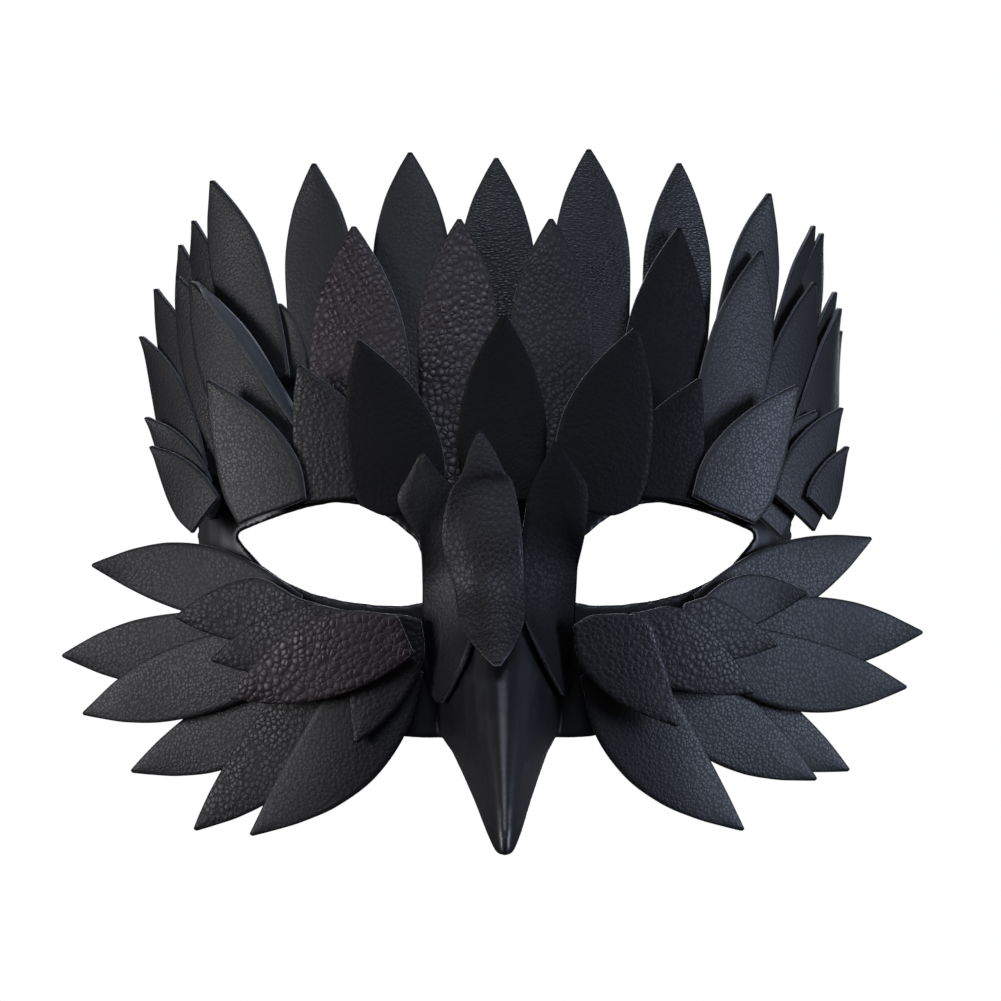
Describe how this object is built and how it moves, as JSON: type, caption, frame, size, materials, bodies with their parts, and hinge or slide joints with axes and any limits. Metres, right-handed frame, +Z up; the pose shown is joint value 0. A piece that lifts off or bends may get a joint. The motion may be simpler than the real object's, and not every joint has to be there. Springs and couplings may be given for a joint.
{
  "type": "feathered crow half mask",
  "caption": "Rigid half mask with almond eye holes and a short hooked beak, covered in overlapping leather feathers that fan out over the brow and cheeks.",
  "frame": {"origin": "centre of the nose pad's flat back face, where the mask rests on the bridge of the wearer's nose", "axes": "+Z up, +Y back towards the wearer's head, +X to the right as seen from in front of the mask"},
  "size_m": [0.1896, 0.1055, 0.1488],
  "materials": {
    "shell": "satin black moulded plastic",
    "felt": "dark felt",
    "foam": "cloth-faced foam",
    "eyelet": "black plated",
    "leather": "pebbled black leather with raw cut edges"
  },
  "bodies": {
    "root": {"face_shell": "shell", "face_lining": "felt", "nose_pad": "foam", "strap_eyelet_left": "eyelet", "strap_eyelet_right": "eyelet", "crown_feather_1": "leather", "crown_feather_2": "leather", "crown_feather_3": "leather", "crown_feather_4": "leather", "crown_feather_5": "leather", "crown_feather_6": "leather", "crown_feather_7": "leather", "crown_feather_8": "leather", "crown_feather_9": "leather", "middle_feather_1": "leather", "middle_feather_2": "leather", "middle_feather_3": "leather", "middle_feather_4": "leather", "middle_feather_5": "leather", "middle_feather_6": "leather", "middle_feather_7": "leather", "middle_feather_8": "leather", "middle_feather_9": "leather", "middle_feather_10": "leather", "middle_feather_11": "leather", "brow_feather_1": "leather", "brow_feather_2": "leather", "brow_feather_3": "leather", "brow_feather_4": "leather", "brow_feather_5": "leather", "brow_feather_6": "leather", "brow_feather_7": "leather", "brow_feather_8": "leather", "brow_feather_9": "leather", "brow_feather_10": "leather", "brow_feather_11": "leather", "brow_feather_12": "leather", "cheek_feather_left_1": "leather", "cheek_feather_left_2": "leather", "cheek_feather_left_3": "leather", "cheek_feather_left_4": "leather", "cheek_feather_left_5": "leather", "cheek_feather_left_6": "leather", "cheek_feather_right_1": "leather", "cheek_feather_right_2": "leather", "cheek_feather_right_3": "leather", "cheek_feather_right_4": "leather", "cheek_feather_right_5": "leather", "cheek_feather_right_6": "leather", "inner_feather_left_1": "leather", "inner_feather_left_2": "leather", "inner_feather_left_3": "leather", "inner_feather_left_4": "leather", "inner_feather_right_1": "leather", "inner_feather_right_2": "leather", "inner_feather_right_3": "leather", "inner_feather_right_4": "leather", "bridge_feather_1": "leather", "bridge_feather_2": "leather", "bridge_feather_3": "leather"}
  },
  "joints": []
}
